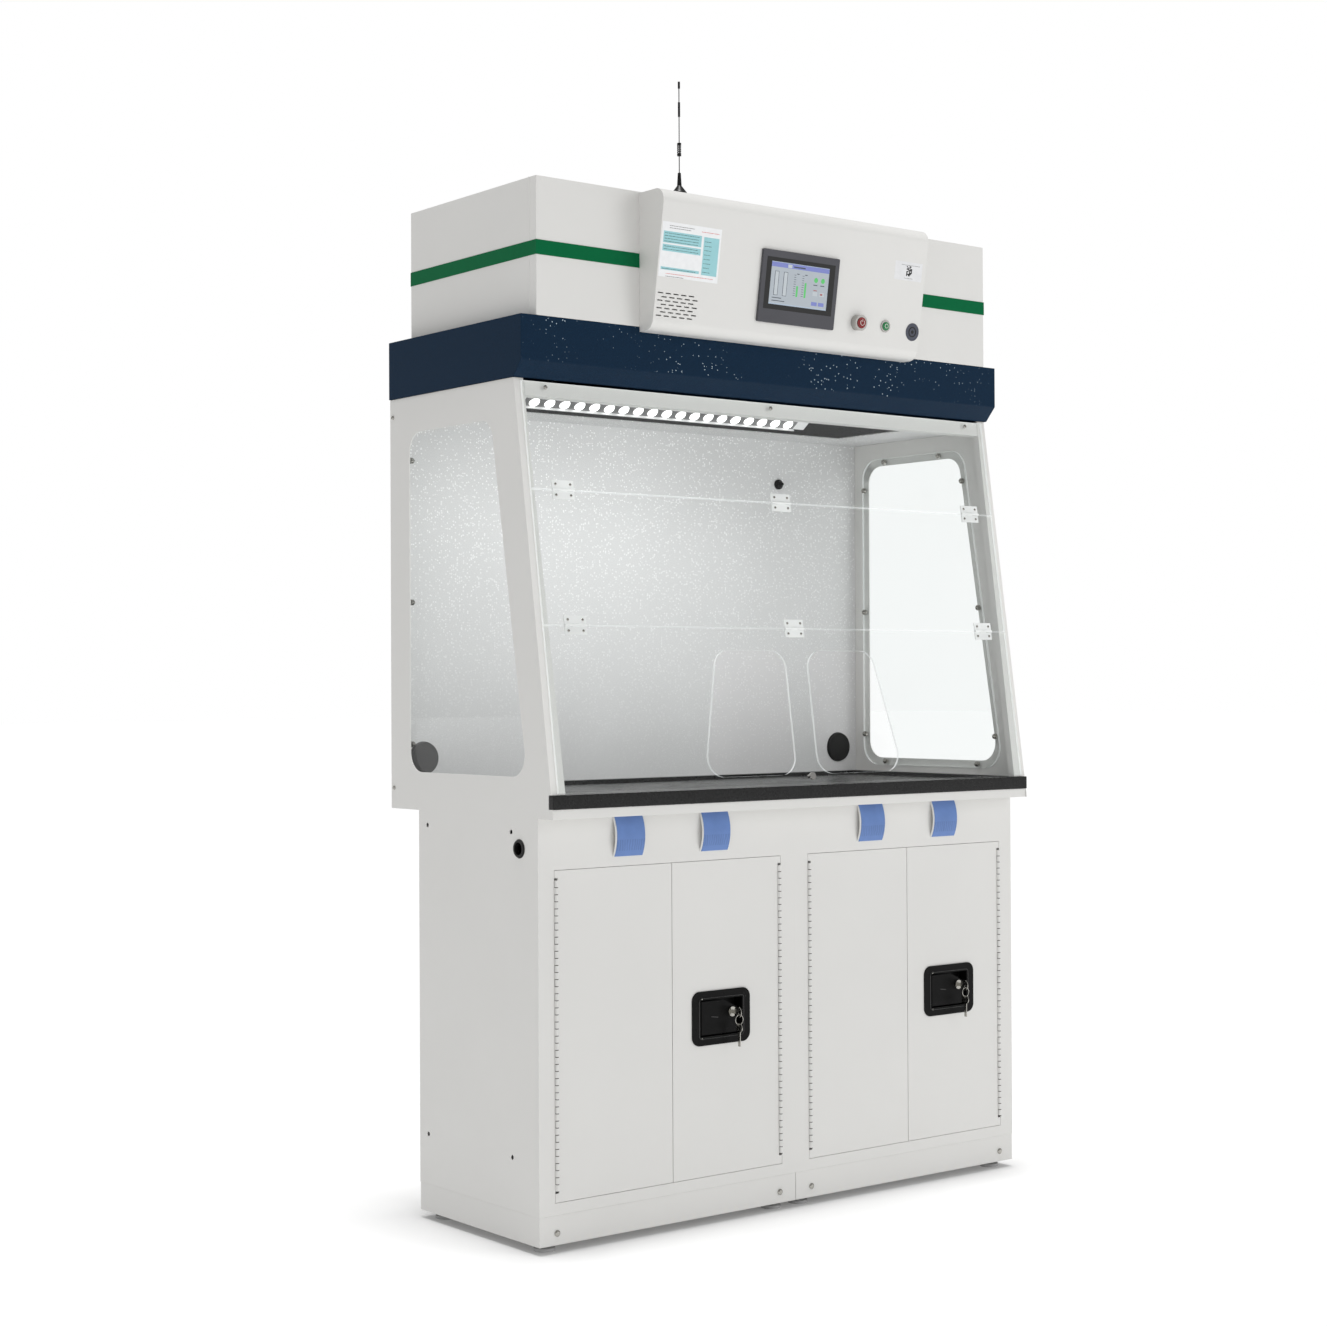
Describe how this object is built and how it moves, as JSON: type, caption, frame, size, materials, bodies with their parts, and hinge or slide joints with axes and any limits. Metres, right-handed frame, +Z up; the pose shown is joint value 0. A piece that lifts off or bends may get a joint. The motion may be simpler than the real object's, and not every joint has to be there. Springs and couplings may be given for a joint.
{
  "type": "fume hood",
  "caption": "Ductless filtering fume hood with a folding clear sash and arm holes, filter housing and control box above, on storage cabinets with paddle-latched doors.",
  "frame": {"origin": "middle of the footprint at floor level", "axes": "+X to the user's right, +Y to the back, +Z up"},
  "size_m": [1.258, 0.5724, 2.213],
  "materials": {
    "white_paint": "warm white powder coat, fine orange peel",
    "liner_paint": "light grey textured powder coat",
    "navy_paint": "dark navy coarse sparkle texture",
    "green_stripe": "satin film",
    "worktop_resin": "satin black phenolic",
    "clear_acrylic": "clear, polished",
    "hinge_plastic": "white translucent moulding",
    "hinge_steel": "satin zinc",
    "nickel": "nickel plated",
    "chrome": "polished",
    "galvanised": "galvanised sheet",
    "latch_black": "fine grained black moulding",
    "port_black": "black moulding",
    "antenna_black": "satin black",
    "foot_rubber": "matt",
    "grommet_rubber": "matt",
    "label_blue": "matt printed card behind clear film",
    "lamp_white": "gloss white",
    "lamp_lens": "moulded lenses, lit",
    "filter_black": "black non-woven mat",
    "filter_case": "cased carbon granules",
    "bezel_black": "satin black moulding",
    "screen_glass": "lit display behind glass",
    "button_red": "translucent red cap",
    "button_green": "green cap"
  },
  "bodies": {
    "hood": {"left_cabinet_shell": "white_paint", "right_cabinet_shell": "white_paint", "plinths": "white_paint", "shelves": "white_paint", "levelling_feet": "foot_rubber", "side_grommets": "grommet_rubber", "door_hinge_frame_leaves": "white_paint", "label_holders": "white_paint", "label_cards": "label_blue", "left_side_panel": "white_paint", "right_side_panel": "white_paint", "side_windows": "clear_acrylic", "window_fasteners": "nickel", "rear_liner": "liner_paint", "rear_cover": "white_paint", "port_caps": "port_black", "airflow_sensor": "latch_black", "ceiling_panel": "liner_paint", "header_rail": "white_paint", "base_frame": "white_paint", "worktop": "worktop_resin", "upper_sash": "clear_acrylic", "upper_sash_hinges": "hinge_plastic", "panel_screws": "nickel", "lamp_housing": "lamp_white", "lamp_lenses": "lamp_lens", "band": "navy_paint", "filter_housing": "white_paint", "housing_rear_panel": "white_paint", "roof_panel": "white_paint", "stripe": "green_stripe", "prefilter": "filter_black", "carbon_filter": "filter_case", "fan_housing": "galvanised", "control_box": "white_paint", "touch_panel": "bezel_black", "touch_screen": "screen_glass", "button_collars": "chrome", "antenna": "antenna_black", "mains_gland": "antenna_black"},
    "left_outer_door": {"left_outer_door": "white_paint"},
    "left_inner_door": {"left_inner_door": "white_paint", "left_latch_dish": "latch_black"},
    "right_inner_door": {"right_inner_door": "white_paint"},
    "right_outer_door": {"right_outer_door": "white_paint", "right_latch_dish": "latch_black"},
    "left_paddle": {"left_latch_paddle": "latch_black"},
    "left_bolt": {"left_latch_bolt": "hinge_steel"},
    "left_lock": {"left_lock_with_keys": "nickel"},
    "right_paddle": {"right_latch_paddle": "latch_black"},
    "right_bolt": {"right_latch_bolt": "hinge_steel"},
    "right_lock": {"right_lock_with_keys": "nickel"},
    "sash_middle": {"middle_sash": "clear_acrylic", "middle_sash_hinges": "hinge_plastic"},
    "sash_lower": {"lower_sash": "clear_acrylic", "lower_sash_hinges": "hinge_plastic", "sash_knob": "chrome"},
    "power_button": {"power_button": "button_red"},
    "start_button": {"start_button": "button_green"},
    "fan_impeller": {"fan_impeller": "galvanised"}
  },
  "joints": [
    {"name": "left_outer_door_hinge", "type": "hinge", "parent": "hood", "child": "left_outer_door", "pos_m": [-0.585, -0.226, 0.4], "axis": [0, 0, -1], "range_deg": [0, 120]},
    {"name": "left_inner_door_hinge", "type": "hinge", "parent": "hood", "child": "left_inner_door", "pos_m": [-0.04, -0.226, 0.4], "axis": [0, 0, 1], "range_deg": [0, 90]},
    {"name": "right_inner_door_hinge", "type": "hinge", "parent": "hood", "child": "right_inner_door", "pos_m": [0.04, -0.226, 0.4], "axis": [0, 0, -1], "range_deg": [0, 90]},
    {"name": "right_outer_door_hinge", "type": "hinge", "parent": "hood", "child": "right_outer_door", "pos_m": [0.585, -0.226, 0.4], "axis": [0, 0, 1], "range_deg": [0, 120]},
    {"name": "left_paddle_pivot", "type": "hinge", "parent": "left_inner_door", "child": "left_paddle", "pos_m": [-0.241, -0.22, 0.399], "axis": [0, 0, -1], "range_deg": [0, 35], "stiffness_Nm_per_rad": 0.4},
    {"name": "left_bolt_slide", "type": "slide", "parent": "left_inner_door", "child": "left_bolt", "axis": [1, 0, 0], "range_m": [0, 0.01]},
    {"name": "left_lock_turn", "type": "hinge", "parent": "left_paddle", "child": "left_lock", "pos_m": [-0.166, -0.225, 0.407], "axis": [0, 1, 0], "range_deg": [0, 90]},
    {"name": "right_paddle_pivot", "type": "hinge", "parent": "right_outer_door", "child": "right_paddle", "pos_m": [0.384, -0.22, 0.399], "axis": [0, 0, -1], "range_deg": [0, 35], "stiffness_Nm_per_rad": 0.4},
    {"name": "right_bolt_slide", "type": "slide", "parent": "right_outer_door", "child": "right_bolt", "axis": [1, 0, 0], "range_m": [0, 0.01]},
    {"name": "right_lock_turn", "type": "hinge", "parent": "right_paddle", "child": "right_lock", "pos_m": [0.459, -0.225, 0.407], "axis": [0, 1, 0], "range_deg": [0, 90]},
    {"name": "middle_sash_fold", "type": "hinge", "parent": "hood", "child": "sash_middle", "pos_m": [0, -0.19115, 1.41146], "axis": [-1, 0, 0], "range_deg": [0, 90]},
    {"name": "lower_sash_fold", "type": "hinge", "parent": "sash_middle", "child": "sash_lower", "pos_m": [0, -0.22902, 1.15726], "axis": [-1, 0, 0], "range_deg": [0, 120]},
    {"name": "power_button_press", "type": "slide", "parent": "hood", "child": "power_button", "axis": [0, 0.9879, 0.1548], "range_m": [0, 0.003], "stiffness_N_per_m": 500},
    {"name": "start_button_press", "type": "slide", "parent": "hood", "child": "start_button", "axis": [0, 0.9879, 0.1548], "range_m": [0, 0.003], "stiffness_N_per_m": 500},
    {"name": "fan_spin", "type": "hinge", "parent": "hood", "child": "fan_impeller", "pos_m": [0, 0.03, 1.82], "axis": [0, 0, 1], "continuous": true}
  ],
  "couplings": [
    {"joint": "left_bolt_slide", "follows": "left_paddle_pivot", "m_per_rad": 0.0162},
    {"joint": "right_bolt_slide", "follows": "right_paddle_pivot", "m_per_rad": 0.0162}
  ]
}
